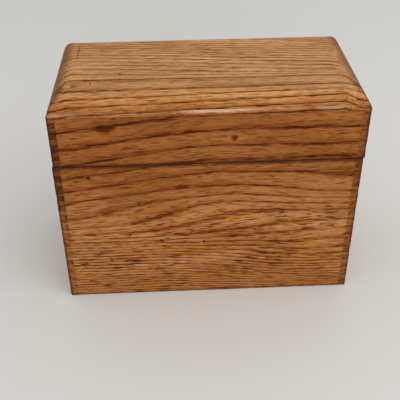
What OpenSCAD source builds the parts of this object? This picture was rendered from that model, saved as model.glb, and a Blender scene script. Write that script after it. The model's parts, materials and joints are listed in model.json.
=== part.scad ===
// Finger-jointed oak money box with a hinged, round-topped lid.
// Origin: centre of the underside. +X to the right, +Y to the back (the hinge side), +Z up.
// The walls are sawn from one closed carcass, so the finger pattern runs on from the body into the lid.

/* [Box] */
// Outside width of the body and of the lid
box_w = 222; // [180:1:320]
// Outside depth of the body and of the lid
box_d = 114; // [80:1:220]
// Height of the body, from the table to its rim
body_h = 121; // [70:1:200]
// Height of the lid's four walls, from its rim to the underside of the top
lid_wall_h = 38.4; // [24:0.2:90]
// Thickness of the wall boards
board_t = 6; // [4.6:0.1:12]
// Sideways play of the lid on the body, which leaves the lid this far to the right
lid_shift = 0.8; // [0:0.1:1.5]
// Gap between the body's rim and the lid's rim
seam_gap = 0.6; // [0.3:0.05:1.6]

/* [Lid top] */
// Thickness of the solid top
top_t = 12; // [8:0.5:20]
// Radius of the round-over on the top's four edges
top_round_r = 15; // [6:0.5:24]
// How far in from the edge the round-over starts, at most its radius
top_round_in = 14.5; // [4:0.5:24]

/* [Finger joints] */
// Height of one finger
finger_h = 4.3; // [3:0.1:12]
// Height of the first side finger at the left corners, measured from the table
finger_start = 6.85; // [4:0.05:12]

/* [Bottom] */
// Thickness of the bottom panel
bottom_t = 6; // [4:0.1:10]
// How far the bottom panel's rabbet is cut into each wall
rabbet_in = 3; // [2.4:0.1:3.6]
// Gap between the bottom panel and its rabbet, all round
panel_clearance = 0.2; // [0.05:0.05:0.5]
// Diameter of the brads that hold the bottom panel
brad_d = 1.2; // [0.8:0.1:1.6]
// Length of the brads
brad_l = 15; // [10:1:20]
// Diameter of a brad's head
brad_head_d = 2; // [1.7:0.1:2.4]
// Number of brads along the front and along the back
brads_long = 5; // [2:1:9]
// Number of brads along each side
brads_short = 2; // [2:1:5]

/* [Hinges] */
// Length of each hinge
hinge_l = 30; // [20:1:45]
// Distance from the box's end to the middle of each hinge
hinge_inset = 40; // [36:1:60]
// Thickness of a hinge leaf
leaf_t = 1; // [0.7:0.05:1.6]
// Width of the rim that a leaf covers
leaf_w = 5.2; // [4:0.1:9]
// Radius of the hinge barrel
barrel_r = 1.9; // [1.6:0.05:3]
// Radius of the hinge pin
pin_r = 0.9; // [0.6:0.05:1.2]
// Number of knuckles on one hinge, an odd number
knuckles = 5; // [3:2:7]
// Radius of a screw's head
screw_head_r = 1.7; // [1.3:0.05:1.9]
// Radius of a screw's shank
screw_r = 0.85; // [0.6:0.05:1]
// Length of a screw
screw_l = 9; // [6:0.5:14]
// Number of screws in each leaf
screws_per_leaf = 3; // [2:1:4]

/* [Hidden] */
$fn = 48;

front_oak = "#a9703a";
side_oak = "#9c6535";
top_oak = "#b98452";
bottom_oak = "#a77a4c";
brass = "#b9964f";
steel = "#7c7a76";

EPS = 0.5;                     // how far a cutter runs past the wood that it cuts
running_clearance = 0.06;      // radial play of the pin in the lid leaf's knuckles
knuckle_gap = 0.15;            // play between one knuckle and the next
leaf_gap = 0.2;                // space between the two closed leaves
barrel_clearance = 0.1;        // space between the barrel and the box's back
mortise_clearance = 0.1;       // space round a leaf in its mortise
pin_recess = 0.2;              // how far the pin's ends lie inside the end knuckles
countersink_h = 0.9;           // depth of a screw head's cone
slot_w = 0.5;                  // width of a screw's slot
slot_h = 0.45;                 // depth of a screw's slot
screw_tip_h = 2;               // length of a screw's taper
brad_head_h = 0.5;             // thickness of a brad's head
brad_set = 0.2;                // how far a brad's head is punched below the surface
brad_tip_h = 1.5;              // length of a brad's point
tip_r = 0.15;                  // radius left at a screw's or brad's tip
glue_land = 0.4;               // least height left upright between a deep round-over and the glue line
rim_land = 0.4;                // least width of rim left inside a leaf
screw_turn = 55;               // how far each slot is turned from the one before it, in degrees

seam_z = body_h + seam_gap / 2;               // plane of the hinge axis
lid_rim_z = body_h + seam_gap;
wall_top_z = lid_rim_z + lid_wall_h;          // where the top is glued on
body_x = 0;                                   // middle of the body
lid_x = lid_shift;                            // middle of the lid
left_phase = finger_start;
right_phase = finger_start - finger_h;        // the right corners start one finger lower
panel_w = box_w - 2 * (board_t - rabbet_in) - 2 * panel_clearance;
panel_d = box_d - 2 * (board_t - rabbet_in) - 2 * panel_clearance;
round_in = min(top_round_in, top_round_r);
round_drop = top_round_r - sqrt(top_round_r * top_round_r - round_in * round_in);

hinge_x = box_w / 2 - hinge_inset;            // middle of the right hinge
axis_y = box_d / 2 + barrel_clearance + barrel_r;
leaf_front_y = box_d / 2 - min(leaf_w, board_t - rim_land);
plate_back_y = box_d / 2 - barrel_clearance / 2;
plate_w = plate_back_y - leaf_front_y;
screw_y = (leaf_front_y + plate_back_y) / 2;
mortise_h = leaf_t + leaf_gap / 2 - seam_gap / 2;
knuckle_l = (hinge_l - (knuckles - 1) * knuckle_gap) / knuckles;
screw_pitch = hinge_l / screws_per_leaf;

// The rows of fingers on a corner's side board, clipped to one range of heights.
function finger_rows(phase, low, high) = [
    for (k = [-ceil(phase / (2 * finger_h)) - 1 : ceil(high / (2 * finger_h))])
        let (start = phase + 2 * finger_h * k,
             from = max(low, start),
             to = min(high, start + finger_h))
        if (to - from > 0.01) [from, to]
];

// All the side fingers at one corner. side is -1 for left, end is -1 for front.
module corner_fingers(side, end, low, high) {
    phase = side < 0 ? left_phase : right_phase;
    x = side < 0 ? -box_w / 2 : box_w / 2 - board_t;
    y = end < 0 ? -box_d / 2 : box_d / 2 - board_t;
    for (row = finger_rows(phase, low, high))
        translate([x, y, row[0]])
            cube([board_t, board_t, row[1] - row[0]]);
}

// Corner sockets, cut clean through the board's faces and level with the side fingers.
module corner_sockets(side, end, low, high) {
    phase = side < 0 ? left_phase : right_phase;
    x = side < 0 ? -box_w / 2 - EPS : box_w / 2 - board_t;
    y = end < 0 ? -box_d / 2 - EPS : box_d / 2 - board_t - EPS;
    for (row = finger_rows(phase, low, high)) {
        over = row[1] >= high ? EPS : 0;
        under = row[0] <= low ? EPS : 0;
        translate([x, y, row[0] - under])
            cube([board_t + EPS, board_t + 2 * EPS, row[1] - row[0] + over + under]);
    }
}

// A front (end = -1) or back (end = 1) wall with sockets at both ends.
module long_wall(end, low, high) {
    y = end < 0 ? -box_d / 2 : box_d / 2 - board_t;
    difference() {
        translate([-box_w / 2, y, low])
            cube([box_w, board_t, high - low]);
        corner_sockets(-1, end, low, high);
        corner_sockets(1, end, low, high);
    }
}

// A left (side = -1) or right (side = 1) wall with fingers at both ends.
module short_wall(side, low, high) {
    x = side < 0 ? -box_w / 2 : box_w / 2 - board_t;
    union() {
        translate([x, -box_d / 2 + board_t, low])
            cube([board_t, box_d - 2 * board_t, high - low]);
        corner_fingers(side, -1, low, high);
        corner_fingers(side, 1, low, high);
    }
}

// The rabbet for the bottom panel, the same in all four walls.
module bottom_rabbet() {
    w = box_w - 2 * (board_t - rabbet_in);
    d = box_d - 2 * (board_t - rabbet_in);
    translate([-w / 2, -d / 2, -EPS])
        cube([w, d, bottom_t + EPS]);
}

// Places of the brads, on the line midway along the panel's edge under each wall.
brad_x = box_w / 2 - board_t + rabbet_in / 2;
brad_y = box_d / 2 - board_t + rabbet_in / 2;
function spread(count, length, i) = -length / 2 + length * (i + 0.5) / count;
brad_places = [
    for (end = [-1, 1], i = [0 : brads_long - 1])
        [spread(brads_long, box_w - 4 * board_t, i), end * brad_y],
    for (side = [-1, 1], i = [0 : brads_short - 1])
        [side * brad_x, spread(brads_short, box_d - 4 * board_t, i)]
];

// One brad, or the hole that it makes.
module brad(as_hole) {
    tip_h = as_hole ? 0 : brad_tip_h;
    below = as_hole ? brad_set + EPS : 0;
    translate([0, 0, brad_set - below])
        cylinder(h = brad_head_h + below, r = brad_head_d / 2);
    translate([0, 0, brad_set])
        cylinder(h = brad_l - brad_set - tip_h, r = brad_d / 2);
    if (!as_hole)
        translate([0, 0, brad_l - brad_tip_h])
            cylinder(h = brad_tip_h, r1 = brad_d / 2, r2 = tip_r);
}

module all_brads(as_hole) {
    for (place = brad_places)
        translate([place[0], place[1], 0])
            brad(as_hole);
}

// The lid's half of a hinge is the body's half, mirrored about the seam.
module lid_half() {
    translate([0, 0, 2 * seam_z])
        mirror([0, 0, 1])
            children();
}

function is_body_knuckle(i) = i % 2 == 0;

// Screw places along one leaf
screw_xs = [for (i = [0 : screws_per_leaf - 1]) spread(screws_per_leaf, hinge_l, i)];

// One leaf as it lies on the body's rim, centred on x = 0.
module leaf(body_leaf) {
    top_z = seam_z - leaf_gap / 2;
    bore_r = body_leaf ? pin_r : pin_r + running_clearance;
    difference() {
        union() {
            translate([-hinge_l / 2, leaf_front_y, top_z - leaf_t])
                cube([hinge_l, plate_w, leaf_t]);
            for (i = [0 : knuckles - 1])
                if (is_body_knuckle(i) == body_leaf)
                    translate([-hinge_l / 2 + i * (knuckle_l + knuckle_gap), 0, 0]) {
                        translate([0, axis_y, seam_z])
                            rotate([0, 90, 0])
                                cylinder(h = knuckle_l, r = barrel_r);
                        translate([0, plate_back_y - EPS, top_z - leaf_t])
                            cube([knuckle_l, axis_y - plate_back_y + EPS, leaf_t]);
                    }
        }
        translate([-hinge_l / 2 - EPS, axis_y, seam_z])
            rotate([0, 90, 0])
                cylinder(h = hinge_l + 2 * EPS, r = bore_r);
        for (x = screw_xs)
            translate([x, screw_y, top_z])
                screw_body(true);
    }
}

// A screw driven downwards from z = 0, or the space that it takes in the leaf and the wood.
module screw_body(as_hole) {
    above = as_hole ? EPS : 0;
    tip_h = as_hole ? 0 : screw_tip_h;
    translate([0, 0, -countersink_h])
        cylinder(h = countersink_h, r1 = screw_r, r2 = screw_head_r);
    if (as_hole)
        cylinder(h = above, r = screw_head_r);
    translate([0, 0, -screw_l + tip_h])
        cylinder(h = screw_l - tip_h - countersink_h, r = screw_r);
    if (!as_hole)
        translate([0, 0, -screw_l])
            cylinder(h = screw_tip_h, r1 = tip_r, r2 = screw_r);
}

module slotted_screw(turn) {
    difference() {
        screw_body(false);
        rotate([0, 0, turn])
            translate([-screw_head_r - EPS, -slot_w / 2, -slot_h])
                cube([2 * (screw_head_r + EPS), slot_w, slot_h + EPS]);
    }
}

module leaf_screws() {
    for (i = [0 : screws_per_leaf - 1])
        translate([screw_xs[i], screw_y, seam_z - leaf_gap / 2])
            slotted_screw(screw_turn * (i + 0.5));
}

// What one leaf takes out of the body's back wall: its mortise and its screw holes.
module leaf_seat() {
    floor_z = body_h - mortise_h;
    translate([-hinge_l / 2 - mortise_clearance, leaf_front_y - mortise_clearance, floor_z])
        cube([hinge_l + 2 * mortise_clearance, leaf_w + board_t, mortise_h + EPS]);
    for (x = screw_xs)
        translate([x, screw_y, seam_z - leaf_gap / 2])
            screw_body(true);
}

module body_front() {
    color(front_oak)
        translate([body_x, 0, 0])
            difference() {
                long_wall(-1, 0, body_h);
                bottom_rabbet();
                all_brads(true);
            }
}

module body_back() {
    color(front_oak)
        difference() {
            translate([body_x, 0, 0])
                difference() {
                    long_wall(1, 0, body_h);
                    bottom_rabbet();
                    all_brads(true);
                }
            for (side = [-1, 1])
                translate([side * hinge_x, 0, 0])
                    leaf_seat();
        }
}

module body_side(side) {
    color(side_oak)
        translate([body_x, 0, 0])
            difference() {
                short_wall(side, 0, body_h);
                bottom_rabbet();
                all_brads(true);
            }
}

module bottom_panel() {
    color(bottom_oak)
        translate([body_x, 0, 0])
            difference() {
                translate([-panel_w / 2, -panel_d / 2, 0])
                    cube([panel_w, panel_d, bottom_t]);
                all_brads(true);
            }
}

module bottom_brads() {
    color(steel)
        translate([body_x, 0, 0])
            all_brads(false);
}

module lid_front() {
    color(front_oak)
        translate([lid_x, 0, 0])
            long_wall(-1, lid_rim_z, wall_top_z);
}

module lid_back() {
    color(front_oak)
        difference() {
            translate([lid_x, 0, 0])
                long_wall(1, lid_rim_z, wall_top_z);
            for (side = [-1, 1])
                translate([side * hinge_x, 0, 0])
                    lid_half()
                        leaf_seat();
        }
}

module lid_side(side) {
    color(side_oak)
        translate([lid_x, 0, 0])
            short_wall(side, lid_rim_z, wall_top_z);
}

// What the round-over takes off an edge along X, length l, with the wood's corner at the origin.
// The wood lies towards -Y and -Z. The arc leaves the flat smoothly and meets the side at a slight arris.
// Below that arris the cutter is clear of the wood. A deeper arc stops at a ledge above the glue line.
module round_over(l) {
    ledge = top_t - glue_land;
    depth = round_drop < ledge ? top_round_r : ledge;
    difference() {
        translate([-l / 2, -round_in, -depth])
            cube([l, round_in + EPS, depth + EPS]);
        translate([-l / 2 - EPS, -round_in, -top_round_r])
            rotate([0, 90, 0])
                cylinder(h = l + 2 * EPS, r = top_round_r, $fn = 120);
    }
}

module lid_top() {
    top_z = wall_top_z + top_t;
    color(top_oak)
        translate([lid_x, 0, 0])
            difference() {
                translate([-box_w / 2, -box_d / 2, wall_top_z])
                    cube([box_w, box_d, top_t]);
                for (turn = [0, 180])
                    rotate([0, 0, turn])
                        translate([0, box_d / 2, top_z])
                            round_over(box_w + 2 * EPS);
                for (turn = [90, 270])
                    rotate([0, 0, turn])
                        translate([0, box_w / 2, top_z])
                            round_over(box_d + 2 * EPS);
            }
}

module hinge_body_leaf(side) {
    color(brass)
        translate([side * hinge_x, 0, 0])
            leaf(true);
}

module hinge_lid_leaf(side) {
    color(brass)
        translate([side * hinge_x, 0, 0])
            lid_half()
                leaf(false);
}

module hinge_pin(side) {
    color(steel)
        translate([side * hinge_x - hinge_l / 2 + pin_recess, axis_y, seam_z])
            rotate([0, 90, 0])
                cylinder(h = hinge_l - 2 * pin_recess, r = pin_r);
}

module hinge_body_screws(side) {
    color(brass)
        translate([side * hinge_x, 0, 0])
            leaf_screws();
}

module hinge_lid_screws(side) {
    color(brass)
        translate([side * hinge_x, 0, 0])
            lid_half()
                leaf_screws();
}

body_front();
body_back();
body_side(-1);  // body_left
body_side(1);  // body_right
bottom_panel();
bottom_brads();
lid_front();
lid_back();
lid_side(-1);  // lid_left
lid_side(1);  // lid_right
lid_top();
hinge_body_leaf(-1);  // left_hinge_body_leaf
hinge_lid_leaf(-1);  // left_hinge_lid_leaf
hinge_pin(-1);  // left_hinge_pin
hinge_body_screws(-1);  // left_hinge_body_screws
hinge_lid_screws(-1);  // left_hinge_lid_screws
hinge_body_leaf(1);  // right_hinge_body_leaf
hinge_lid_leaf(1);  // right_hinge_lid_leaf
hinge_pin(1);  // right_hinge_pin
hinge_body_screws(1);  // right_hinge_body_screws
hinge_lid_screws(1);  // right_hinge_lid_screws
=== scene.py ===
import bpy, bmesh, json, math, random
from mathutils import Vector, Matrix, noise


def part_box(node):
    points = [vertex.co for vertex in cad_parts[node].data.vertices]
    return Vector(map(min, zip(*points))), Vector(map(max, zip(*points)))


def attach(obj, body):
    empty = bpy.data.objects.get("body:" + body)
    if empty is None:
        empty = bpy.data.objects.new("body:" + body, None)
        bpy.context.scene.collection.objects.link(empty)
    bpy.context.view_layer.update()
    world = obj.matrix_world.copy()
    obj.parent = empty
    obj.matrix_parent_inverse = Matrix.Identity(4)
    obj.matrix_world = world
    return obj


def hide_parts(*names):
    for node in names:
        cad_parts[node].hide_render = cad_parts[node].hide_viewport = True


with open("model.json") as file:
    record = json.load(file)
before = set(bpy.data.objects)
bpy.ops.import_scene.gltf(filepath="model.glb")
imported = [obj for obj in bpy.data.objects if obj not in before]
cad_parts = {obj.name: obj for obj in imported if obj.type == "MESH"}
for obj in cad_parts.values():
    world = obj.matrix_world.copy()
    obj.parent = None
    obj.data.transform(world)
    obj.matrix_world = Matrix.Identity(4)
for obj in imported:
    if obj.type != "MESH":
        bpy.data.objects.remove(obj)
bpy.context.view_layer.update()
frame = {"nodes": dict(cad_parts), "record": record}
mm = 0.001
print("frame loaded")

bodyLow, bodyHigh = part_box("body_front")
lidLow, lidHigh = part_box("lid_front")
topLow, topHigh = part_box("lid_top")
leftLow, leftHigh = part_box("body_left")
leafLow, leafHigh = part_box("right_hinge_body_leaf")
# sizes of the box in mm
box = {
    "halfWidth": (bodyHigh.x - bodyLow.x) / 2 / mm,
    "halfDepth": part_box("body_back")[1].y / mm,
    "rim": bodyHigh.z / mm,
    "lidRim": lidLow.z / mm,
    "lidWallTop": lidHigh.z / mm,
    "top": topHigh.z / mm,
    "board": (leftHigh.x - leftLow.x) / mm,
    "lidShift": (lidHigh.x + lidLow.x) / 2 / mm,    # the lid sits a little to the right
    "finger": 4.3,          # height of one finger
    "firstLeft": 6.85,      # height of the first side finger at the left corners
    "rabbet": 3.0,          # how far the bottom panel goes into a wall
    "rabbetHigh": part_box("bottom_panel")[1].z / mm,
}
hinges = {
    "length": (leafHigh.x - leafLow.x) / mm,
    "centre": (leafHigh.x + leafLow.x) / 2 / mm,    # from the middle of the box
    "leafFront": leafLow.y / mm,
    "seatPlay": 0.1,        # room left round a leaf
    "seatDeep": 0.8,        # how deep a leaf is let in
}
halfW, halfD, rim, lidRim = box["halfWidth"], box["halfDepth"], box["rim"], box["lidRim"]
wallTop, topZ, shift = box["lidWallTop"], box["top"], box["lidShift"]
# the two halves of the box: how high their walls reach, and their outer corners
halves = {
    "box": {"low": 0, "high": rim, "shift": 0, "isLid": False, "wearSeed": 1,
            "outer": ((-halfW, -halfD, 0), (halfW, halfD, rim))},
    "lid": {"low": lidRim, "high": wallTop, "shift": shift, "isLid": True, "wearSeed": 2,
            "outer": ((-halfW + shift, -halfD, lidRim), (halfW + shift, halfD, topZ))},
}


def clamp(value, low=0.0, high=1.0):
    return max(low, min(high, value))


def smooth(low, high, value):
    t = clamp((value - low) / (high - low))
    return t * t * (3 - 2 * t)


def middle(values, i):
    return (values[i] + values[i + 1]) / 2


def newPiece(name, mesh):
    data = bpy.data.meshes.new(name)
    mesh.to_mesh(data)
    mesh.free()
    piece = bpy.data.objects.new(name, data)
    bpy.context.scene.collection.objects.link(piece)
    return piece


# how the boards are divided into cells, in mm
cells = {
    "length": 5.0,          # of a cell along the grain
    "clearOfSeat": 1.2,     # no break this near to the end of a hinge seat
    "same": 0.02,           # breaks this near to each other are one
}


def stepsBetween(low, high):
    count = max(1, round((high - low) / cells["length"]))
    return [low + (high - low) * i / count for i in range(count + 1)]


def mergedBreaks(*lists):
    found = sorted(set(round(v, 4) for values in lists for v in values))
    kept = []
    for v in found:
        if not kept or v - kept[-1] > cells["same"]:
            kept.append(v)
    return kept


def fingerLevels(low, high):
    levels = [low, high]
    z = box["firstLeft"] - box["finger"] * math.floor(box["firstLeft"] / box["finger"])
    while z < high:
        if low + cells["same"] < z < high - cells["same"]:
            levels.append(z)
        z += box["finger"]
    return levels


def isSideFinger(side, z):
    # True where a corner's finger at this height belongs to the side wall. side is negative at the left.
    phase = box["firstLeft"] - (0 if side < 0 else box["finger"])
    return (z - phase) % (2 * box["finger"]) < box["finger"]


def inRabbet(u, v, w, innerFace, innerEnd):
    # True where the bottom panel lies in a wall of the body.
    return w < box["rabbetHigh"] and v < innerFace + box["rabbet"] and abs(u) < innerEnd + box["rabbet"]


def cellSolid(name, uBreaks, vBreaks, wBreaks, isSolid, place, edgeWidth, inset):
    # A closed mesh round the solid cells of a grid: u along the grain, v through the board, w across it.
    solid = {}
    for i in range(len(uBreaks) - 1):
        for j in range(len(vBreaks) - 1):
            for k in range(len(wBreaks) - 1):
                solid[i, j, k] = isSolid(middle(uBreaks, i), middle(vBreaks, j), middle(wBreaks, k))
    mesh = bmesh.new()
    corners = {}

    def corner(i, j, k):
        if (i, j, k) not in corners:
            u, v, w = uBreaks[i], vBreaks[j], wBreaks[k]
            corners[i, j, k] = (mesh.verts.new(Vector(place(u, v, w)) * mm), (u, v, w))
        return corners[i, j, k][0]

    faces = [
        ((1, 0, 0), [(1, 0, 0), (1, 1, 0), (1, 1, 1), (1, 0, 1)]),
        ((-1, 0, 0), [(0, 0, 0), (0, 0, 1), (0, 1, 1), (0, 1, 0)]),
        ((0, 1, 0), [(0, 1, 0), (0, 1, 1), (1, 1, 1), (1, 1, 0)]),
        ((0, -1, 0), [(0, 0, 0), (1, 0, 0), (1, 0, 1), (0, 0, 1)]),
        ((0, 0, 1), [(0, 0, 1), (1, 0, 1), (1, 1, 1), (0, 1, 1)]),
        ((0, 0, -1), [(0, 0, 0), (0, 1, 0), (1, 1, 0), (1, 0, 0)]),
    ]
    for (i, j, k), full in solid.items():
        if not full:
            continue
        for (di, dj, dk), loop in faces:
            if not solid.get((i + di, j + dj, k + dk), False):
                mesh.faces.new([corner(i + a, j + b, k + c) for a, b, c in loop])
    mesh.normal_update()
    bmesh.ops.recalc_face_normals(mesh, faces=mesh.faces)
    where = {vert: uvw for vert, uvw in corners.values()}
    weight = mesh.edges.layers.float.new("bevel_weight_edge")
    flat = math.radians(30)
    for edge in mesh.edges:
        if len(edge.link_faces) == 2 and edge.calc_face_angle(0) > flat:
            a, b = (where[v] for v in edge.verts)
            edge[weight] = edgeWidth(a, b)
    for vert, uvw in where.items():
        vert.co = Vector(place(*inset(*uvw))) * mm
    return newPiece(name, mesh)


def easeEdges(piece):
    # Rounds the marked edges by their weights, in mm, and keeps the result as the piece's own mesh.
    easing = piece.modifiers.new("easedEdges", "BEVEL")
    easing.width = 1.0 * mm
    easing.segments = 2
    easing.limit_method = "WEIGHT"
    easing.use_clamp_overlap = True
    easing.miter_outer = "MITER_SHARP"
    shown = piece.evaluated_get(bpy.context.evaluated_depsgraph_get())
    data = bpy.data.meshes.new_from_object(shown)
    piece.modifiers.clear()
    old = piece.data
    piece.data = data
    data.name = old.name + "Mesh"
    bpy.data.meshes.remove(old)


# small, uneven bites that handling has taken out of the outer arrises
bites = {
    "wall": 0.35,           # depth in mm
    "top": 0.3,
    "reach": (0.2, 2.2),    # full depth up to here, none from there, in mm from the arris
    "coarse": 0.16,         # waves for each mm
    "fine": 0.55,
}


def wearArrises(piece, half, depth):
    low, high = half["outer"]
    seed = half["wearSeed"]
    away = Vector((seed * 7.31, seed * 3.17, seed * 5.53))
    for vert in piece.data.vertices:
        p = vert.co / mm
        gaps = sorted((min(p[i] - low[i], high[i] - p[i]), i) for i in range(3))
        near = 1 - smooth(*bites["reach"], gaps[1][0])
        if near <= 0:
            continue
        bite = noise.noise(p * bites["coarse"] + away) * 0.6 + noise.noise(p * bites["fine"] + away) * 0.4
        bite = depth * near * clamp(bite * 1.7 + 0.1) ** 1.5
        push = Vector((0, 0, 0))
        for _, i in gaps[:2]:
            push[i] = -1 if p[i] > (low[i] + high[i]) / 2 else 1
        vert.co += push * bite * mm


def finish(piece, body, node, material):
    piece.data.materials.clear()
    piece.data.materials.append(material)
    for face in piece.data.polygons:
        face.use_smooth = True
    even = piece.modifiers.new("evenNormals", "WEIGHTED_NORMAL")
    even.keep_sharp = True
    even.weight = 80
    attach(piece, body)
    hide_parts(node)


wallEdges = {
    "corner": 0.9,          # widths of the rounded edges in mm: the box's upright corners
    "foot": 0.85,           # outer edges on the table
    "rim": 0.4,             # edges along the opening
    "underTop": 0.22,       # where the lid's walls meet its top
    "ends": 0.3,            # a wall's upper and lower end edges
    "fingers": 0.1,
    "inside": 0.06,
    "sunk": 0.06,           # most that a finger's end lies under the next board's face
}


def easedWidths(vBreaks, wBreaks, half, isLid):
    def edgeWidth(a, b):
        onOuter = a[1] == b[1] == vBreaks[-1]
        onInner = a[1] == b[1] == vBreaks[0]
        onEnd = min(abs(a[0]), abs(b[0])) > half - cells["same"]
        atLow, atHigh = a[2] == b[2] == wBreaks[0], a[2] == b[2] == wBreaks[-1]
        atOpening = atLow if isLid else atHigh
        if onOuter and onEnd:
            return wallEdges["corner"]
        if (onOuter or onInner) and atOpening:
            return wallEdges["rim"]
        if onOuter and (atLow or atHigh):
            return wallEdges["underTop" if isLid else "foot"]
        if onEnd and (atLow or atHigh):
            return wallEdges["ends"]
        return wallEdges["fingers" if onOuter or onEnd else "inside"]

    return edgeWidth


def sunkFingers(half, seed):
    # Each finger's end lies a hair under the next board's face.
    shy = random.Random(seed)
    sunk = {}

    def inset(u, v, w):
        if half - abs(u) > cells["same"]:
            return u, v, w
        row = (u > 0, math.floor((w - box["firstLeft"]) / box["finger"] / 2 + 0.25))
        return math.copysign(half - sunk.setdefault(row, shy.uniform(0.0, wallEdges["sunk"])), u), v, w

    return inset


def longWall(name, end, part, seed):
    # A front (end -1) or back (end 1) wall, the back ones with the hinges' seats.
    low, high, shift, isLid = part["low"], part["high"], part["shift"], part["isLid"]
    innerEnd, innerFace = halfW - box["board"], halfD - box["board"]
    rabbetFace, rabbetEnd = innerFace + box["rabbet"], innerEnd + box["rabbet"]
    seatFront = hinges["leafFront"] - hinges["seatPlay"]
    seatHalf = hinges["length"] / 2 + hinges["seatPlay"]
    seatLevel = low + hinges["seatDeep"] if isLid else high - hinges["seatDeep"]
    seatMiddles = [side * hinges["centre"] - shift for side in (-1, 1)]
    steps = stepsBetween(-innerEnd, innerEnd)
    throughs, levels = [innerFace, halfD], fingerLevels(low, high)
    if end > 0:
        seatEnds = [seat + edge * seatHalf for seat in seatMiddles for edge in (-1, 1)]
        clear = [u for u in steps if min(abs(u - s) for s in seatEnds) > cells["clearOfSeat"]]
        steps = clear + seatEnds
        throughs.append(seatFront)
        levels.append(seatLevel)
    if not isLid:
        steps += [-rabbetEnd, rabbetEnd]
        throughs.append(rabbetFace)
        levels.append(box["rabbetHigh"])
    uBreaks = mergedBreaks([-halfW, halfW], steps)
    vBreaks, wBreaks = mergedBreaks(throughs), mergedBreaks(levels)

    def isSolid(u, v, w):
        if abs(u) > innerEnd and isSideFinger(u, w):
            return False
        if not isLid and inRabbet(u, v, w, innerFace, innerEnd):
            return False
        inSeat = end > 0 and v > seatFront and (w < seatLevel if isLid else w > seatLevel)
        return not (inSeat and any(abs(u - seat) < seatHalf for seat in seatMiddles))

    return cellSolid(name, uBreaks, vBreaks, wBreaks, isSolid, lambda u, v, w: (u + shift, end * v, w),
                     easedWidths(vBreaks, wBreaks, halfW, isLid), sunkFingers(halfW, seed))


def shortWall(name, side, part, seed):
    # A left (side -1) or right (side 1) wall, with fingers at both ends.
    low, high, shift, isLid = part["low"], part["high"], part["shift"], part["isLid"]
    innerEnd, innerFace = halfD - box["board"], halfW - box["board"]
    steps, throughs, levels = stepsBetween(-innerEnd, innerEnd), [innerFace, halfW], fingerLevels(low, high)
    if not isLid:
        steps += [-innerEnd - box["rabbet"], innerEnd + box["rabbet"]]
        throughs.append(innerFace + box["rabbet"])
        levels.append(box["rabbetHigh"])
    uBreaks = mergedBreaks([-halfD, halfD], steps)
    vBreaks, wBreaks = mergedBreaks(throughs), mergedBreaks(levels)

    def isSolid(u, v, w):
        if abs(u) > innerEnd and not isSideFinger(side, w):
            return False
        return isLid or not inRabbet(u, v, w, innerFace, innerEnd)

    return cellSolid(name, uBreaks, vBreaks, wBreaks, isSolid, lambda u, v, w: (side * v + shift, u, w),
                     easedWidths(vBreaks, wBreaks, halfD, isLid), sunkFingers(halfD, seed))


topShape = {
    "round": 15.0,          # radius of the round-over
    "reach": 14.5,          # how far in from the edge it starts
    "hip": 0.05,            # radius of the mitred corners in plan, as a share of the distance from the flat
    "arcSteps": 12,
    "cornerSteps": 4,
    "along": 44,            # quads along the front and back
    "across": 22,
    "ease": 0.2,            # small arris at the glue line
    "soft": 0.25,           # how far the arris under the arc is rubbed down, on both sides
}


def lidTop(name):
    # The lid's solid top: rings from the glue line up round the edges, then a fine grid for the flat.
    r, reach, ease, soft = (topShape[key] for key in ("round", "reach", "ease", "soft"))
    halfX = (topHigh.x - topLow.x) / 2 / mm - reach
    halfY = (topHigh.y - topLow.y) / 2 / mm - reach
    low, high = topLow.z / mm, topHigh.z / mm
    n, m, arcSteps, cornerSteps = (topShape[key] for key in ("along", "across", "arcSteps", "cornerSteps"))
    mesh = bmesh.new()

    def newVert(x, y, z):
        return mesh.verts.new(Vector((x + shift, y, z)) * mm)

    def ring(t, z):
        # One closed ring at distance t outside the flat, from the front right corner round.
        points = []
        turn = t * topShape["hip"]
        corners = ((1, -1), (1, 1), (-1, 1), (-1, -1))
        for k, (cx, cy) in enumerate(corners):
            for i in range(cornerSteps + 1):
                a = math.radians(90 * (k - 1 + i / cornerSteps))
                points.append((cx * (halfX + t - turn) + turn * math.cos(a),
                               cy * (halfY + t - turn) + turn * math.sin(a)))
            nextX, nextY = corners[(k + 1) % 4]
            outX, outY = (cx + nextX) / 2, (cy + nextY) / 2
            count = m if outX else n
            for i in range(1, count):
                f = i / count
                points.append((halfX * (cx + (nextX - cx) * f) + outX * t,
                               halfY * (cy + (nextY - cy) * f) + outY * t))
        return [newVert(x, y, z) for x, y in points]

    steepest = math.asin(reach / r)
    arris = high - r + r * math.cos(steepest)
    rings = [ring(reach - ease, low), ring(reach - ease * 0.3, low + ease * 0.3), ring(reach, low + ease),
             ring(reach, arris - soft)]
    for i in range(arcSteps):
        a = steepest * (1 - i / arcSteps)
        if i == 0:
            a -= soft / r
        rings.append(ring(r * math.sin(a), high - r + r * math.cos(a)))
    rings.append(ring(0.0001, high))    # merges with the rim of the grid
    for a, b in zip(rings, rings[1:]):
        for i in range(len(a)):
            mesh.faces.new([a[i - 1], a[i], b[i], b[i - 1]])
    grid = {}
    for i in range(n + 1):
        for j in range(m + 1):
            grid[i, j] = newVert(halfX * (2 * i / n - 1), halfY * (2 * j / m - 1), high)
    for i in range(n):
        for j in range(m):
            mesh.faces.new([grid[i, j], grid[i + 1, j], grid[i + 1, j + 1], grid[i, j + 1]])
    mesh.faces.new(list(reversed(rings[0])))
    bmesh.ops.remove_doubles(mesh, verts=mesh.verts, dist=0.002 * mm)
    bmesh.ops.recalc_face_normals(mesh, faces=mesh.faces)
    return newPiece(name, mesh)


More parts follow.
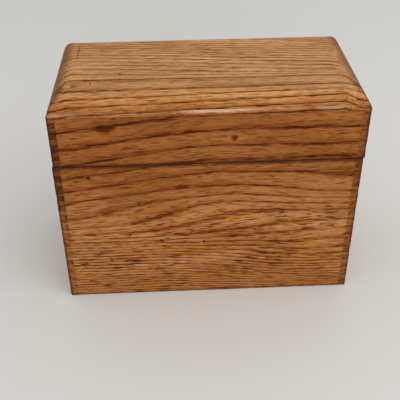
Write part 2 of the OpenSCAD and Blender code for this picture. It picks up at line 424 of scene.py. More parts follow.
class Wiring:
    # Short names for the nodes of one tree.
    def __init__(self, tree):
        self.tree = tree

    def node(self, kind, **settings):
        made = self.tree.nodes.new(kind)
        for key, value in settings.items():
            setattr(made, key, value)
        return made

    def feed(self, socket, value):
        if isinstance(value, bpy.types.NodeSocket):
            self.tree.links.new(value, socket)
        else:
            socket.default_value = value

    def wired(self, kind, values, **settings):
        node = self.node(kind, **settings)
        for socket, value in zip(node.inputs, values):
            self.feed(socket, value)
        return node.outputs

    def math(self, what, *values):
        return self.wired("ShaderNodeMath", values, operation=what)[0]

    def vector(self, what, *values):
        return self.wired("ShaderNodeVectorMath", values, operation=what)[0]

    def add(self, first, *others):
        for value in others:
            first = self.math("ADD", first, value)
        return first

    def sub(self, a, b):
        return self.math("SUBTRACT", a, b)

    def mul(self, first, *others):
        for value in others:
            first = self.math("MULTIPLY", first, value)
        return first

    def per(self, a, b):
        return self.math("DIVIDE", a, b)

    def absolute(self, a):
        return self.math("ABSOLUTE", a)

    def big(self, a, b):
        return self.math("MAXIMUM", a, b)

    def small(self, a, b):
        return self.math("MINIMUM", a, b)

    def spread(self, value, amount):
        # A noise of about 0.5 turned into one of about 0, this wide.
        return self.mul(self.sub(value, 0.5), amount)

    def length(self, a, b):
        return self.math("SQRT", self.add(self.mul(a, a), self.mul(b, b)))

    def split(self, vector):
        return self.wired("ShaderNodeSeparateXYZ", [vector])

    def join(self, x, y, z):
        return self.wired("ShaderNodeCombineXYZ", (x, y, z))[0]

    def ramp(self, value, low, high, toLow=0.0, toHigh=1.0):
        return self.wired("ShaderNodeMapRange", (value, low, high, toLow, toHigh),
                         interpolation_type="SMOOTHSTEP")[0]

    def noise(self, where, detail, rough, scale=1.0, kind="3D"):
        made = self.node("ShaderNodeTexNoise", noise_dimensions=kind)
        self.feed(made.inputs["W" if kind == "1D" else "Vector"], where)
        made.inputs["Scale"].default_value = scale
        made.inputs["Detail"].default_value = detail
        made.inputs["Roughness"].default_value = rough
        return made.outputs[0]

    def mix(self, share, a, b):
        made = self.node("ShaderNodeMix", data_type="RGBA")
        self.feed(made.inputs[0], share)
        self.feed(made.inputs[6], a)
        self.feed(made.inputs[7], b)
        return made.outputs[2]

    def group(self, shared, **values):
        made = self.node("ShaderNodeGroup", node_tree=shared)
        for key, value in values.items():
            self.feed(made.inputs[key], value)
        return made.outputs

    def bump(self, height, strength, distance):
        made = self.node("ShaderNodeBump")
        made.inputs["Strength"].default_value = strength
        made.inputs["Distance"].default_value = distance * mm
        self.feed(made.inputs["Height"], height)
        return made.outputs[0]

    def placeInMm(self):
        coords = self.node("ShaderNodeTexCoord")
        scaled = self.node("ShaderNodeVectorMath", operation="SCALE")
        self.feed(scaled.inputs[0], coords.outputs["Object"])
        scaled.inputs["Scale"].default_value = 1 / mm
        return scaled.outputs[0], coords.outputs["Normal"]      # the place, and the way the surface faces


def newGroup(name, inputs, outputs):
    # Each input has its first value: a number, a colour of four numbers, or None for a place.
    tree = bpy.data.node_groups.new(name, "ShaderNodeTree")
    for label, start in inputs.items():
        kind = "Vector" if start is None else "Color" if isinstance(start, tuple) else "Float"
        socket = tree.interface.new_socket(name=label, in_out="INPUT", socket_type="NodeSocket" + kind)
        if start is not None:
            socket.default_value = start
    for label in outputs:
        kind = "Color" if label == "Colour" else "Float"
        tree.interface.new_socket(name=label, in_out="OUTPUT", socket_type="NodeSocket" + kind)
    w = Wiring(tree)
    return w, w.node("NodeGroupInput").outputs, w.node("NodeGroupOutput").inputs


def makeGrowthRings():
    # Counts the tree's growth rings at a place in the board, in mm: X along, Y through, Z across the grain.
    # PithDepth and PithAcross say where the tree's heart runs. A year is Wide mm thick out to the radius
    # ChangeAt, and Fine mm beyond it. The rings climb by Rise mm over RiseOver mm of the length round RiseAt,
    # above RiseHigh in full and below RiseLow not at all. Wobble bends them and Years makes them uneven.
    w, given, out = newGroup("growthRings", {
        "Place": None, "PithDepth": 60.0, "PithAcross": 0.0,
        "Fine": 3.0, "Wide": 8.0, "ChangeAt": 120.0, "ChangeOver": 12.0,
        "Rise": 0.0, "RiseAt": 0.0, "RiseOver": 60.0, "RiseFrom": 0.0, "RiseTravel": 0.0,
        "RiseLow": -999.0, "RiseHigh": -998.0, "Drift": 0.0, "Slant": 0.0,
        "Wobble": 3.0, "Years": 1.0, "Start": 0.0, "Seed": 0.0}, ("Count", "Fibre", "Close"))
    u, v, a = w.split(given["Place"])
    seed = given["Seed"]
    slow = w.noise(w.join(w.add(w.mul(u, 0.011), seed), w.mul(v, 0.02), w.mul(a, 0.032)), 1.5, 0.45)
    quick = w.noise(w.join(w.add(w.mul(u, 0.045), seed), w.mul(v, 0.1), w.mul(a, 0.13)), 2.0, 0.55)
    wobble = w.add(w.spread(slow, w.mul(given["Wobble"], 2.6)), w.spread(quick, w.mul(given["Wobble"], 0.75)))
    centre = w.add(given["RiseAt"], w.mul(given["RiseTravel"], w.big(w.sub(given["RiseFrom"], a), 0.0)))
    along = w.ramp(w.per(w.sub(u, centre), given["RiseOver"]), -0.5, 0.5)
    climb = w.mul(along, given["Rise"], w.ramp(a, given["RiseLow"], given["RiseHigh"]))
    across = w.add(w.sub(w.sub(a, climb), w.mul(given["Slant"], u)), given["Drift"], wobble)
    radius = w.length(w.sub(across, given["PithAcross"]), w.sub(v, given["PithDepth"]))
    perFine = w.per(1.0, given["Fine"])
    perWide = w.per(1.0, given["Wide"])
    inner = w.math("SMOOTH_MIN", radius, given["ChangeAt"], given["ChangeOver"])
    count = w.sub(w.mul(radius, perFine), w.mul(inner, w.sub(perFine, perWide)))
    years = w.noise(w.add(w.mul(count, 0.45), w.mul(seed, 1.7)), 1.0, 0.5, kind="1D")
    w.feed(out["Count"], w.add(count, given["Start"], w.spread(years, given["Years"])))
    w.feed(out["Fibre"], w.add(w.mul(across, 0.6), w.mul(a, 0.4)))
    w.feed(out["Close"], w.ramp(w.per(w.sub(radius, given["ChangeAt"]), given["ChangeOver"]), -0.9, 0.5))
    return w.tree


def makeDrift(name, bends):
    # How far the grain of one board is bent aside.
    # Each bend is (mm, along from, to, across from, to, back again from, to).
    w, given, out = newGroup(name, {"Along": 0.0, "Across": 0.0}, ["Drift"])
    total = 0.0
    for amount, alongFrom, alongTo, acrossFrom, acrossTo, backFrom, backTo in bends:
        begun = w.ramp(given["Across"], acrossFrom, acrossTo)
        ended = w.ramp(given["Across"], backFrom, backTo)
        total = w.add(total, w.mul(w.ramp(given["Along"], alongFrom, alongTo), amount, w.sub(begun, ended)))
    w.feed(out["Drift"], total)
    return w.tree


# how dark each part of the oak's figure is, 0 the palest wood and 1 a dark pore
figureLook = {
    "early": 0.34,              # open early wood
    "pores": 0.62,              # its pores, on top
    "flecks": 0.24,             # hair-fine flecks in it
    "lateFlecks": 0.15,         # and in the late wood
    "lead": 0.14,               # the late wood just before a new year
    "dashes": (0.36, 0.75),     # short dashes between the years, in wide rings and in fine ones
    "weakest": 0.55,            # what is left of a faint year
}


def makeOakFigure():
    # Turns the ring count into open early wood with dark pores, smooth late wood, flecks and slow clouds.
    w, given, out = newGroup("oakFigure", {
        "Place": None, "Count": 0.0, "Fibre": 0.0, "Close": 0.0,
        "Band": 0.24, "CloseBand": 0.42, "Seed": 0.0}, ("Dark", "Tone", "Dry", "Relief"))
    u, v, a = w.split(given["Place"])
    seed, fibre, close = given["Seed"], given["Fibre"], given["Close"]

    def grain(length, across, turn, detail, rough):
        # A noise drawn out along the fibres.
        place = w.join(w.add(w.mul(u, length), w.add(seed, turn)), w.mul(v, across), w.mul(fibre, across))
        return w.noise(place, detail, rough)

    fray = w.spread(grain(0.08, 0.9, 0.0, 3.0, 0.62), w.ramp(close, 0.0, 1.0, 0.3, 0.34))
    ring = w.math("FRACT", w.add(given["Count"], fray))
    year = w.math("FLOOR", given["Count"])
    width = w.ramp(close, 0.0, 1.0, given["Band"], given["CloseBand"])
    early = w.mul(w.ramp(ring, 0.0, 0.035), w.ramp(ring, w.mul(width, 0.4), width, 1.0, 0.0))
    lead = w.mul(w.ramp(ring, 0.72, 1.0), figureLook["lead"])
    patch = w.join(w.add(w.mul(u, 0.022), seed), w.mul(v, 0.05), w.add(w.mul(a, 0.05), w.mul(year, 0.37)))
    strength = w.ramp(w.noise(patch, 2.0, 0.55), 0.34, 0.6, figureLook["weakest"], 1.0)
    streak = grain(0.1, 1.45, 1.3, 2.0, 0.6)
    pores = w.ramp(streak, 0.43, 0.57)
    dashes = w.ramp(streak, 0.54, 0.64)
    flecks = w.ramp(grain(0.17, 2.9, 3.7, 2.0, 0.6), 0.38, 0.66)
    band = w.mul(early, strength)
    inPores, inFlecks = w.mul(pores, figureLook["pores"]), w.mul(flecks, figureLook["flecks"])
    inBand = w.mul(band, w.add(figureLook["early"], inPores, inFlecks))
    busy = w.mul(dashes, w.ramp(close, 0.0, 1.0, *figureLook["dashes"]))
    between = w.mul(w.sub(1.0, band), w.add(lead, w.mul(flecks, figureLook["lateFlecks"]), busy))
    cloud = w.join(w.add(w.mul(u, 0.012), w.mul(seed, 2.3)), w.mul(v, 0.03), w.mul(a, 0.055))
    w.feed(out["Dark"], w.add(inBand, between))
    w.feed(out["Tone"], w.noise(cloud, 3.0, 0.55))
    w.feed(out["Dry"], w.ramp(grain(0.06, 1.1, 7.1, 3.0, 0.65), 0.36, 0.64))
    w.feed(out["Relief"], w.sub(w.mul(ring, 0.15), w.add(w.mul(band, pores), w.mul(dashes, 0.5))))
    return w.tree


def makeArrisWearAndShade():
    # The dirt and the rubbing along the outer arrises of a box; along the seam and the foot the darkening is
    # also painted shade.
    w, given, out = newGroup("arrisWear", {
        "Place": None, "Centre": None, "HalfSize": None, "Reach": 5.0, "Seed": 0.0}, ("Grime", "Rub"))
    offset = w.vector("ABSOLUTE", w.vector("SUBTRACT", given["Place"], given["Centre"]))
    x, y, z = w.split(w.vector("SUBTRACT", given["HalfSize"], offset))
    toArris = w.big(w.small(x, y), w.small(w.big(x, y), z))
    far = w.vector("ADD", given["Place"], w.join(given["Seed"], given["Seed"], 0.0))
    cloud = w.noise(far, 3.0, 0.6, scale=0.09)
    fine = w.noise(far, 3.0, 0.6, scale=0.5)
    grime = w.ramp(w.add(toArris, w.spread(cloud, w.mul(given["Reach"], 1.2))), 0.0, given["Reach"], 1.0, 0.0)
    rub = w.ramp(w.add(toArris, w.spread(fine, 2.6)), 0.1, 1.1, 1.0, 0.0)
    w.feed(out["Grime"], w.mul(grime, w.add(0.55, w.mul(fine, 0.6))))
    w.feed(out["Rub"], w.mul(rub, w.ramp(cloud, 0.42, 0.6)))
    return w.tree


def makeJointLines():
    # The thin dark lines of glue and dirt round the fingers. U is along the board, W its height.
    w, given, out = newGroup("jointLines", {
        "U": 0.0, "W": 0.0, "Centre": 0.0, "Half": 100.0, "Board": 6.0, "First": 6.85, "Finger": 4.3,
        "Width": 0.3, "Seam": 121.0, "Place": None}, ("Line", "Zone", "Stain"))
    fromEnd = w.sub(given["Half"], w.absolute(w.sub(given["U"], given["Centre"])))
    zone = w.ramp(fromEnd, w.sub(given["Board"], 0.05), w.add(given["Board"], 0.05), 1.0, 0.0)
    step = w.per(w.sub(given["W"], given["First"]), given["Finger"])
    level = w.mul(w.absolute(w.sub(step, w.math("ROUND", step))), given["Finger"])
    w.feed(out["Line"], w.mul(w.ramp(level, w.mul(given["Width"], 0.4), given["Width"], 1.0, 0.0), zone))
    w.feed(out["Zone"], zone)
    # the stain is darkest near the seam and towards the left
    patch = w.ramp(w.noise(given["Place"], 2.0, 0.6, scale=0.09), 0.35, 0.6, 0.55, 1.1)
    nearSeam = w.ramp(w.absolute(w.sub(given["W"], given["Seam"])), 10.0, 52.0, 1.0, 0.04)
    toLeft = w.ramp(w.split(given["Place"])[0], -90.0, 90.0, 0.9, 0.25)
    w.feed(out["Stain"], w.mul(nearSeam, patch, toLeft))
    return w.tree


def makeMarks(name, marks):
    # Old nicks, ink spots and a knot. Each mark is (along, across, half length, half height, strength).
    w, given, out = newGroup(name, {"Along": 0.0, "Across": 0.0}, ["Mark"])
    ragged = w.noise(w.join(w.mul(given["Along"], 0.25), w.mul(given["Across"], 0.9), 0.0), 3.0, 0.65)
    total = 0.0
    for along, across, length, height, strength in marks:
        aside = w.per(w.sub(given["Along"], along), length)
        above = w.per(w.sub(given["Across"], across), height)
        apart = w.length(aside, above)
        total = w.big(total, w.ramp(w.add(apart, w.spread(ragged, 1.3)), 0.35, 1.15, strength, 0.0))
    w.feed(out["Mark"], total)
    return w.tree


soaked = (0.221, 0.098, 0.0225)     # what a dark pore leaves of red, green and blue


def makeSoak():
    # Old varnish and dirt in the pores: takes out blue first, then green. 0 is the palest wood, 1 a pore.
    w, given, out = newGroup("soak", {"Colour": (0.5, 0.3, 0.1, 1), "Amount": 0.0}, ["Colour"])
    passed = w.join(*[w.math("POWER", left, given["Amount"]) for left in soaked])
    w.feed(out["Colour"], w.vector("MULTIPLY", given["Colour"], passed))
    return w.tree


def makeTarnish():
    # A brown film in clouds, and fine scratches along the leaves.
    w, given, out = newGroup("tarnish", {"Place": None}, ("Share", "Scratch"))
    x, y, z = w.split(given["Place"])
    w.feed(out["Share"], w.ramp(w.noise(given["Place"], 3.0, 0.5, scale=0.16), 0.32, 0.72))
    w.feed(out["Scratch"], w.noise(w.join(w.mul(x, 0.1), w.mul(y, 1.2), w.mul(z, 1.2)), 2.0, 0.5))
    return w.tree


growthRings = makeGrowthRings()
oakFigure = makeOakFigure()
arrisWear = makeArrisWearAndShade()
jointLines = makeJointLines()
soak = makeSoak()
tarnish = makeTarnish()
print("node groups ready")


def paint(r, g, b):
    # A colour as a screen shows it, 0 to 255, turned into the linear values that the shader takes.
    line = [c / 255 for c in (r, g, b)]
    return (*[c / 12.92 if c < 0.04045 else ((c + 0.055) / 1.055) ** 2.4 for c in line], 1.0)


oakTones = {
    "light": paint(179, 124, 61),       # the palest late wood under its varnish
    "dry": paint(179, 135, 106),        # where the varnish has gone dull along the grain
    "bare": paint(200, 160, 112),       # unvarnished, inside the box
    "grime": paint(76, 58, 47),         # greyer dirt over the finger joints, and dirt and painted shade on the arrises
}

# what every board starts from; a board's own dictionary further down changes some of it
anyBoard = {
    "drift": None,          # group that bends the grain aside
    "dense": None,          # group of places where the dark lines are strongest
    "marks": None,          # group of nicks and spots
    "polished": None,       # group of places that still shine, by length and height
    "overEnds": None,       # how the rings run on over the ends, but not over the front
    "fingers": False,
    "tones": {},            # changes to the oak tones
    "contrast": (0.0, 1.0, 1.0, 1.0),   # of the grain: across from, to, amount from, to
    "aged": (0.0, 1.0, 0.0, 0.0),       # darkening by height: from, to, amount from, to
    "coat": (0.0, 1.0, 0.04, 0.04),     # varnish by height, in the same way
    "coatRough": 0.16,
    "specular": 0.05,
    "rough": 0.36,
    "rougher": {"pores": 0.12, "smears": 0.16, "grime": 0.12, "bare": 0.3},
    "bump": (0.5, 0.12),    # strength, and distance in mm
    "figureHigh": 0.5,      # how much of the bump is the figure, and how much dents
    "dentsHigh": 1.2,
    "cloud": 0.16,          # slow changes of tone
    "endFrom": (0.6, 0.85), # how squarely a surface lies across the grain before it counts as end grain
    "endDark": 0.1,         # how much darker end grain is
    "endStain": 0.75,       # and how much more where the fingers are stained
    "line": (0.2, 0.4),     # darkness of the lines round the fingers, plain and for the stain on them
    "zone": (0.1, 0.25),    # darkness over all the fingers, in the same way
    "lineWidth": 0.28,      # in mm
    "reach": 2.6,           # how far the dirt and painted shade reach in from an arris, in mm
    "grime": 0.7,           # how much that dirt and painted shade darken
    "dirt": 0.35,           # how much of their grey they bring
    "fingerDirt": 0.1,      # how much of that grey lies over the fingers
    "rub": 0.3,             # how much rubbing lightens an arris
    "spots": 1.2,           # darkness of the marks
    "bareGrain": 0.6,       # strength of the grain inside the box
}


def oakBoard(name, changes):
    board = {**anyBoard, **changes}
    tones = {**oakTones, **board["tones"]}
    figure = board["figure"]
    material = bpy.data.materials.new(name)
    material.use_nodes = True
    w = Wiring(material.node_tree)
    shader = material.node_tree.nodes["Principled BSDF"]
    place, normal = w.placeInMm()
    axes = dict(zip("xyz", w.split(place)))
    facings = dict(zip("xyz", w.split(normal)))
    alongAxis, throughAxis, acrossAxis = board["grain"]
    along, depth, across, z = axes[alongAxis], axes[throughAxis], axes[acrossAxis], axes["z"]
    over = board["overEnds"]
    if over:
        # under the flat the rings are followed more slowly, so their lines run on over the ends
        slower = w.add(w.mul(z, over["rate"]), (1 - over["rate"]) * (topZ - over["under"]))
        depth = w.big(depth, w.add(slower, w.ramp(axes["y"], *over["front"])))

    def spots(key, height=across):
        return w.group(board[key], Along=along, Across=height)["Mark"]

    inBoard = w.join(along, depth, across)
    drift = w.group(board["drift"], Along=along, Across=across)["Drift"] if board["drift"] else 0.0
    rings = w.group(growthRings, Place=inBoard, Drift=drift, **figure)
    oak = w.group(oakFigure, Place=inBoard, Count=rings["Count"], Fibre=rings["Fibre"], Close=rings["Close"],
                  Seed=figure["Seed"])
    wear = w.group(arrisWear, Place=place, Centre=board["centre"], HalfSize=board["half"],
                   Reach=board["reach"], Seed=figure["Seed"])
    facing = w.add(*[w.mul(facings[axis], inwards) for axis, inwards in zip("xyz", board["inside"])])
    bare = w.ramp(facing, 0.5, 0.9)
    endShare = w.ramp(w.absolute(facings[alongAxis]), *board["endFrom"])

    # how dark the varnished wood is, from each cause in turn
    contrast = w.ramp(across, *board["contrast"])
    if board["dense"]:
        contrast = w.add(contrast, spots("dense"))
    grain = w.add(w.mul(oak["Dark"], contrast), w.mul(w.ramp(oak["Tone"], 0.34, 0.66), board["cloud"]))
    aged = w.mul(w.ramp(z, *board["aged"]), w.sub(1.0, w.mul(endShare, 0.8)))
    # darker and greyer near the arrises: dirt, and painted shade along the seam and the foot
    dark = w.add(grain, aged, w.mul(wear["Grime"], board["grime"]))
    dirt = w.mul(wear["Grime"], board["dirt"])
    if board["fingers"]:
        axis = "xyz".index(alongAxis)
        joint = w.group(jointLines, U=along, W=z, Centre=board["centre"][axis], Half=board["half"][axis],
                        Board=box["board"], First=box["firstLeft"], Finger=box["finger"], Seam=rim,
                        Width=board["lineWidth"], Place=place)

        def stained(plain, more):
            return w.add(plain, w.mul(joint["Stain"], more))

        dark = w.add(dark, w.mul(endShare, stained(board["endDark"], board["endStain"])),
                     w.mul(joint["Line"], stained(*board["line"])),
                     w.mul(joint["Zone"], stained(*board["zone"])))
        dirt = w.small(w.add(dirt, w.mul(joint["Zone"], board["fingerDirt"])), 1.0)
    else:
        dark = w.add(dark, w.mul(endShare, board["endDark"]))
    dark = w.big(w.sub(dark, w.mul(wear["Rub"], board["rub"])), 0.0)
    if board["marks"]:
        dark = w.add(dark, w.mul(spots("marks"), board["spots"]))
    varnished = w.group(soak, Colour=w.mix(oak["Dry"], tones["light"], tones["dry"]), Amount=dark)["Colour"]
    varnished = w.mix(dirt, varnished, tones["grime"])
    plain = w.group(soak, Colour=tones["bare"], Amount=w.mul(grain, board["bareGrain"]))["Colour"]
    shader.inputs["Base Color"].default_value = (1, 1, 1, 1)
    w.feed(shader.inputs["Base Color"], w.mix(bare, varnished, plain))

    rougher = board["rougher"]
    smears = w.spread(w.noise(place, 4.0, 0.6, scale=0.035), rougher["smears"])
    rough = w.add(board["rough"], smears, w.mul(oak["Dark"], rougher["pores"]),
                  w.mul(wear["Grime"], rougher["grime"]), w.mul(bare, rougher["bare"]))
    w.feed(shader.inputs["Roughness"], w.small(rough, 1.0))
    shader.inputs["Specular IOR Level"].default_value = board["specular"]
    shader.inputs["Coat Roughness"].default_value = board["coatRough"]
    clean = w.sub(1.0, w.small(w.add(w.mul(wear["Grime"], 1.1), w.mul(endShare, 0.8)), 1.0))
    worn = w.ramp(w.noise(place, 3.0, 0.6, scale=0.07), 0.35, 0.6, 0.35, 1.0)
    coat = w.mul(w.sub(1.0, bare), clean, w.ramp(z, *board["coat"]), worn)
    if board["polished"]:
        shine = w.mul(spots("polished", z), w.ramp(oak["Dark"], 0.1, 0.6, 1.0, 0.25))
        coat = w.small(w.add(coat, shine), 1.0)
    w.feed(shader.inputs["Coat Weight"], coat)

    dents = w.noise(place, 3.0, 0.55, scale=0.12)
    height = w.add(w.mul(oak["Relief"], board["figureHigh"]), w.mul(dents, board["dentsHigh"]))
    w.feed(shader.inputs["Normal"], w.bump(height, *board["bump"]))
    return material


frontFigure = {
    "PithDepth": 0.0, "PithAcross": 179.2, "Fine": 2.61, "Wide": 8.7, "ChangeAt": 130.5, "ChangeOver": 15.8,
    "Rise": 21.4, "RiseAt": -90.0, "RiseOver": 211.0, "RiseFrom": 91.7, "RiseTravel": 2.37, "RiseLow": 43.5,
    "RiseHigh": 90.0, "Wobble": 1.6, "Years": 0.3, "Start": -8.855, "Seed": 4.0}
backFigure = {
    "PithDepth": -20.0, "PithAcross": 30.0, "Fine": 3.2, "Wide": 7.4, "ChangeAt": 96.0, "ChangeOver": 16.0,
    "Rise": -9.0, "RiseAt": 30.0, "RiseOver": 90.0, "Slant": 0.02, "Wobble": 3.4, "Seed": 21.0}
leftFigure = {
    "PithDepth": -60.0, "PithAcross": 70.0, "Fine": 3.0, "Wide": 6.5, "ChangeAt": 74.0, "ChangeOver": 10.0,
    "Rise": 7.0, "RiseAt": -5.0, "RiseOver": 70.0, "Slant": 0.0, "Wobble": 3.0, "Seed": 33.0}
rightFigure = {
    "PithDepth": 40.0, "PithAcross": 140.0, "Fine": 3.1, "Wide": 7.2, "ChangeAt": 110.0, "ChangeOver": 14.0,
    "Rise": -8.0, "RiseAt": 10.0, "RiseOver": 60.0, "Slant": 0.03, "Wobble": 3.0, "Seed": 47.0}
topFigure = {
    "PithDepth": 201.6, "PithAcross": -31.9, "Fine": 3.7, "Wide": 5.3, "ChangeAt": 60.0, "ChangeOver": 10.0,
    "Wobble": 1.3, "Years": 0.25, "Start": -5.75, "Seed": 60.0}
baseFigure = {
    "PithDepth": -50.0, "PithAcross": 10.0, "Fine": 3.4, "Wide": 5.5, "ChangeAt": 70.0, "ChangeOver": 15.0,
    "Slant": 0.01, "Wobble": 3.5, "Seed": 75.0}

frontDrift = makeDrift("frontDrift", [
    (9.4, 5.0, 115.0, 72.6, 96.6, 98.6, 118.6), (11.5, -40.0, 90.0, 0.0, 14.0, 27.0, 58.0)])
before, beyond = (-200.0, -199.0), (100.0, 101.0)     # past either edge of the top
topDrift = makeDrift("topDrift", [
    (19.7, -130.0, 130.0, -26.5, -14.7, *beyond), (-2.8, -130.0, 130.0, 5.0, 40.0, *beyond),
    (-8.7, -130.0, 130.0, *before, -50.0, -32.0), (9.0, 92.0, 107.0, *before, *beyond),
    (4.0, -94.0, -108.0, *before, *beyond)])
frontMarks = makeMarks("frontMarks", [
    (-86.3, 112.0, 1.7, 1.1, 0.95), (-59.6, 59.2, 1.0, 0.8, 0.95), (-3.8, 50.8, 1.1, 1.5, 0.9),
    (-36.3, 53.3, 1.8, 1.3, 0.6), (-75.5, 35.0, 1.6, 1.0, 0.7), (-72.0, 151.8, 9.0, 3.4, 0.62),
    (17.9, 141.6, 2.6, 2.9, 0.55), (108.0, 116.2, 1.6, 0.9, 0.8), (-103.0, 40.0, 0.9, 0.7, 0.8),
    (-7.0, 109.8, 1.6, 0.9, 0.5), (-20.0, 102.0, 6.5, 1.6, 0.45), (-51.5, 88.0, 0.5, 3.0, 0.5)])
topMarks = makeMarks("topMarks", [
    (-81.3, -28.5, 0.45, 4.2, 0.55), (-61.3, -14.5, 1.5, 1.5, 0.5), (-92.5, -33.0, 2.6, 2.2, 0.35),
    (21.0, -8.7, 1.8, 1.2, 0.4), (-77.0, 30.0, 1.8, 1.6, 0.35), (-94.6, 27.0, 0.7, 17.0, 0.3)])
frontDense = makeMarks("frontDense", [
    (-76.0, 34.0, 32.0, 16.0, 0.6), (38.0, 30.0, 30.0, 12.0, 0.6)])
# the lower end of the round-over
polished = makeMarks("polished", [
    (-100.0, 162.0, 18.0, 1.4, 0.45), (8.0, 163.0, 34.0, 2.6, 0.75),
    (50.0, 164.0, 16.0, 1.6, 0.5), (86.0, 162.6, 14.0, 1.8, 0.75)])

# grain: which way the board's length, thickness and width run; inside: the way its bare face looks
wallLooks = {
    "front": {"grain": "xyz", "inside": (0, 1, 0), "figure": frontFigure, "drift": frontDrift,
              "marks": frontMarks, "dense": frontDense, "aged": (75.0, 112.0, 0.0, 0.18),
              "contrast": (70.0, 112.0, 0.95, 1.3)},
    "back": {"grain": "xyz", "inside": (0, -1, 0), "figure": backFigure},
    "left": {"grain": "yxz", "inside": (1, 0, 0), "figure": leftFigure},
    "right": {"grain": "yxz", "inside": (-1, 0, 0), "figure": rightFigure},
}
bodyFrame = {"centre": (0, 0, rim / 2), "half": (halfW, halfD, rim / 2)}
lidFrame = {"centre": (shift, 0, (lidRim + topZ) / 2), "half": (halfW, halfD, (topZ - lidRim) / 2)}
boardLooks = {
    "lid_top": {
        "grain": "xzy", "inside": (0, 0, -1), "figure": topFigure, "drift": topDrift, "marks": topMarks,
        "tones": {"light": paint(208, 158, 99), "dry": paint(208, 167, 134)}, "polished": polished,
        "overEnds": {"rate": 0.2, "under": 1.0, "front": (-42.0, -50.0, 0.0, -30.0)},
        "endFrom": (0.08, 0.75), "endDark": 0.5, "cloud": 0.12,
        # darker down the front round-over
        "contrast": (40.0, -50.0, 0.72, 1.5), "aged": (173.0, 162.0, 0.0, 0.34),
        "specular": 0.03, "coat": (170.2, 171.6, 0.14, 0.02), "coatRough": 0.1, **lidFrame},
    "bottom_panel": {
        "grain": "xzy", "inside": (0, 0, 1), "figure": baseFigure, "coat": (0.0, 1.0, 0.0, 0.0),
        "rough": 0.6, "rub": 0.0, **bodyFrame},
}
for side, look in wallLooks.items():
    boardLooks["body_" + side] = {**look, "fingers": True, **bodyFrame}
    boardLooks["lid_" + side] = {**look, "fingers": True, **lidFrame}
oaks = {node: oakBoard(node.replace("_", "") + "Oak", look) for node, look in boardLooks.items()}

metalLooks = {
    "brass": {"clean": paint(190, 152, 84), "film": paint(104, 76, 40), "rough": 0.34},
    "steel": {"clean": paint(140, 134, 126), "film": paint(62, 54, 48), "rough": 0.42},
}
anyMetal = {"filmRough": 0.22, "scratchRough": 0.2, "bump": (0.25, 0.015)}


def oldMetal(name, look):
    material = bpy.data.materials.new(name)
    material.use_nodes = True
    w = Wiring(material.node_tree)
    shader = material.node_tree.nodes["Principled BSDF"]
    film = w.group(tarnish, Place=w.placeInMm()[0])
    rough = w.add(look["rough"], w.mul(film["Share"], anyMetal["filmRough"]),
                  w.spread(film["Scratch"], anyMetal["scratchRough"]))
    w.feed(shader.inputs["Base Color"], w.mix(film["Share"], look["clean"], look["film"]))
    w.feed(shader.inputs["Roughness"], rough)
    shader.inputs["Metallic"].default_value = 1.0
    w.feed(shader.inputs["Normal"], w.bump(film["Scratch"], *anyMetal["bump"]))
    return material


metals = {slot: oldMetal("old" + slot.capitalize(), look) for slot, look in metalLooks.items()}
print("materials ready")

walls = {
    "frontBoard": {"node": "body_front", "make": longWall, "side": -1, "seed": 11},
    "backBoard": {"node": "body_back", "make": longWall, "side": 1, "seed": 12},
    "leftBoard": {"node": "body_left", "make": shortWall, "side": -1, "seed": 13},
    "rightBoard": {"node": "body_right", "make": shortWall, "side": 1, "seed": 14},
    "lidFrontBoard": {"node": "lid_front", "make": longWall, "side": -1, "seed": 15},
    "lidBackBoard": {"node": "lid_back", "make": longWall, "side": 1, "seed": 16},
    "lidLeftBoard": {"node": "lid_left", "make": shortWall, "side": -1, "seed": 17},
    "lidRightBoard": {"node": "lid_right", "make": shortWall, "side": 1, "seed": 18},
}
for name, wall in walls.items():
    body = "lid" if name.startswith("lid") else "box"
    piece = wall["make"](name, wall["side"], halves[body], wall["seed"])
    easeEdges(piece)
    wearArrises(piece, halves[body], bites["wall"])
    finish(piece, body, wall["node"], oaks[wall["node"]])
print("walls ready")

lid = lidTop("lidTopBoard")
wearArrises(lid, halves["lid"], bites["top"])
finish(lid, "lid", "lid_top", oaks["lid_top"])
print("lid top ready")

# the hinges, brads and bottom panel keep their own meshes, with eased edges
easings = {"weld": 0.002, "metal": 0.08, "panel": 0.25, "sharp": 50}     # mm, and degrees between the faces
slots = {part["node"]: part["material_slot"] for part in frame["record"]["subparts"]}
for name, node in frame["nodes"].items():
    isPanel = name == "bottom_panel"
    if name in boardLooks and not isPanel:
        continue
    node.data.materials.clear()
    node.data.materials.append(oaks[name] if isPanel else metals[slots[name]])
    weld = node.modifiers.new("weld", "WELD")
    weld.merge_threshold = easings["weld"] * mm
    easing = node.modifiers.new("easedEdges", "BEVEL")
    easing.width = easings["panel" if isPanel else "metal"] * mm
    easing.segments = 2
    easing.limit_method = "ANGLE"
    easing.angle_limit = math.radians(easings["sharp"])
    easing.use_clamp_overlap = True
print("hinges, brads and bottom ready")

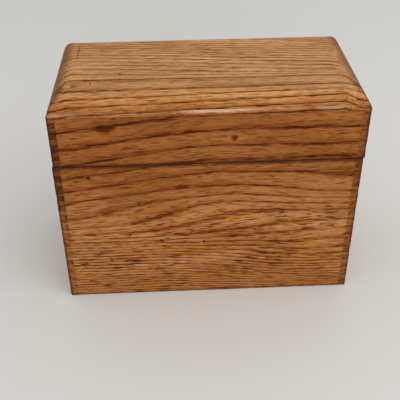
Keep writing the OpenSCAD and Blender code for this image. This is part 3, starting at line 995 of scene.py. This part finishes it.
studio = {
    "floor": {"colour": paint(211, 212, 212), "half": 6.0, "rough": 0.8},
    "sky": {"colour": (1.0, 0.99, 0.98, 1.0), "strength": 0.76},
    "aim": (0.0, 0.0, 0.08),
    "lamps": {      # places and sizes in metres, power in watts, spread in degrees
        "key": {"place": (0.8, -0.7, 1.25), "size": (1.4, 1.4), "power": 7.5, "spread": 180,
                "colour": (1.0, 0.985, 0.96)},
        "strip": {"place": (0.0, -1.9, 0.65), "size": (2.0, 0.6), "power": 2.25, "spread": 50,
                  "colour": (1.0, 0.86, 0.66)},
    },
}
floorMesh = bmesh.new()
bmesh.ops.create_grid(floorMesh, x_segments=8, y_segments=8, size=studio["floor"]["half"])
floor = newPiece("floor", floorMesh)
floorPaint = bpy.data.materials.new("paleTable")
floorPaint.use_nodes = True
floorShader = floorPaint.node_tree.nodes["Principled BSDF"]
floorShader.inputs["Base Color"].default_value = studio["floor"]["colour"]
floorShader.inputs["Roughness"].default_value = studio["floor"]["rough"]
floorShader.inputs["Specular IOR Level"].default_value = 0.0
floor.data.materials.append(floorPaint)

for name, look in studio["lamps"].items():
    data = bpy.data.lights.new(name, "AREA")
    data.shape = "RECTANGLE"
    data.size, data.size_y = look["size"]
    data.energy, data.color = look["power"], look["colour"]
    data.spread = math.radians(look["spread"])
    lamp = bpy.data.objects.new(name, data)
    bpy.context.scene.collection.objects.link(lamp)
    lamp.location = look["place"]
    lamp.rotation_euler = (Vector(studio["aim"]) - Vector(look["place"])).to_track_quat("-Z", "Y").to_euler()

world = bpy.data.worlds.new("paleRoom")
bpy.context.scene.world = world
world.use_nodes = True
air = world.node_tree.nodes["Background"]
air.inputs["Color"].default_value = studio["sky"]["colour"]
air.inputs["Strength"].default_value = studio["sky"]["strength"]

# lens in mm, place in metres, angles in radians
view = {
    "lens": 61.991, "place": (-0.02420, -0.47031, 0.38228),
    "pitch": 0.61544, "yaw": 0.04257, "roll": -0.00914,
}
yaw, pitch, roll = view["yaw"], view["pitch"], view["roll"]
forward = Vector((math.sin(yaw) * math.cos(pitch), math.cos(yaw) * math.cos(pitch), -math.sin(pitch)))
right = Vector((math.cos(yaw), -math.sin(yaw), 0))
up = right.cross(forward)
right, up = (math.cos(roll) * right + math.sin(roll) * up, math.cos(roll) * up - math.sin(roll) * right)
cameraData = bpy.data.cameras.new("camera")
cameraData.lens = view["lens"]
cameraData.sensor_width = 36.0
cameraData.clip_start = 0.02
camera = bpy.data.objects.new("camera", cameraData)
bpy.context.scene.collection.objects.link(camera)
camera.matrix_world = Matrix.Translation(view["place"]) @ Matrix((right, up, -forward)).transposed().to_4x4()
bpy.context.scene.camera = camera
bpy.context.scene.view_settings.view_transform = "Standard"
print("floor, light and camera ready")

bpy.context.view_layer.update()
